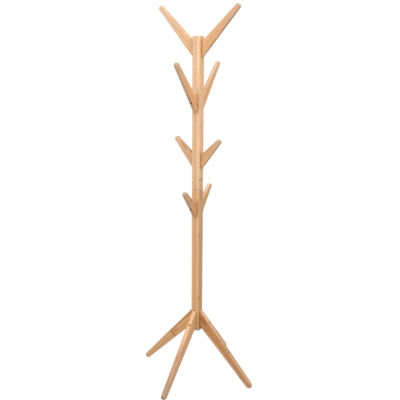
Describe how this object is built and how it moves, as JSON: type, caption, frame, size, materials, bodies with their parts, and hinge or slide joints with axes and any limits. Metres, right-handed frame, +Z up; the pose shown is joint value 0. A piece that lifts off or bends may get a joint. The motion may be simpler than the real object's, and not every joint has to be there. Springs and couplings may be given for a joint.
{
  "type": "standing coat rack",
  "caption": "Free-standing coat rack: a square bamboo post with crossed pairs of upswept hooks and splayed legs.",
  "frame": {"origin": "on the floor, on the post's centre line", "axes": "+Z up along the post, +X along hook tiers 1 and 3 and the right and left legs, +Y along hook tiers 2 and 4 and the back and front legs"},
  "size_m": [0.598, 0.598, 1.7288],
  "materials": {
    "bamboo_post": "laminated natural bamboo, clear satin lacquer, straight fibre along the post",
    "bamboo_hook": "laminated carbonised bamboo, clear satin lacquer, fibre along the arm",
    "bamboo_leg": "laminated carbonised bamboo, clear satin lacquer, fibre along the leg",
    "black_steel": "black-finished socket-head bolts",
    "zinc": "zinc-plated threaded inserts and stud",
    "dowel_wood": "plain unfinished hardwood dowel",
    "pad_rubber": "matt dark rubber disc"
  },
  "bodies": {
    "root": {"post_lower": "bamboo_post", "post_upper": "bamboo_post", "hook_1_right": "bamboo_hook", "hook_1_left": "bamboo_hook", "hook_2_front": "bamboo_hook", "hook_2_back": "bamboo_hook", "hook_3_right": "bamboo_hook", "hook_3_left": "bamboo_hook", "hook_4_front": "bamboo_hook", "hook_4_back": "bamboo_hook", "leg_right": "bamboo_leg", "leg_back": "bamboo_leg", "leg_left": "bamboo_leg", "leg_front": "bamboo_leg", "bolt_hook_1_right": "black_steel", "insert_hook_1_right": "zinc", "dowel_hook_1_right": "dowel_wood", "bolt_hook_1_left": "black_steel", "insert_hook_1_left": "zinc", "dowel_hook_1_left": "dowel_wood", "bolt_hook_2_front": "black_steel", "insert_hook_2_front": "zinc", "dowel_hook_2_front": "dowel_wood", "bolt_hook_2_back": "black_steel", "insert_hook_2_back": "zinc", "dowel_hook_2_back": "dowel_wood", "bolt_hook_3_right": "black_steel", "insert_hook_3_right": "zinc", "dowel_hook_3_right": "dowel_wood", "bolt_hook_3_left": "black_steel", "insert_hook_3_left": "zinc", "dowel_hook_3_left": "dowel_wood", "bolt_hook_4_front": "black_steel", "insert_hook_4_front": "zinc", "dowel_hook_4_front": "dowel_wood", "bolt_hook_4_back": "black_steel", "insert_hook_4_back": "zinc", "dowel_hook_4_back": "dowel_wood", "bolt_leg_right": "black_steel", "insert_leg_right": "zinc", "dowel_leg_right": "dowel_wood", "bolt_leg_back": "black_steel", "insert_leg_back": "zinc", "dowel_leg_back": "dowel_wood", "bolt_leg_left": "black_steel", "insert_leg_left": "zinc", "dowel_leg_left": "dowel_wood", "bolt_leg_front": "black_steel", "insert_leg_front": "zinc", "dowel_leg_front": "dowel_wood", "post_joint_stud": "zinc", "post_joint_insert_upper": "zinc", "post_joint_insert_lower": "zinc", "post_joint_dowel_a": "dowel_wood", "post_joint_dowel_b": "dowel_wood", "pad_right": "pad_rubber", "pad_back": "pad_rubber", "pad_left": "pad_rubber", "pad_front": "pad_rubber"}
  },
  "joints": []
}
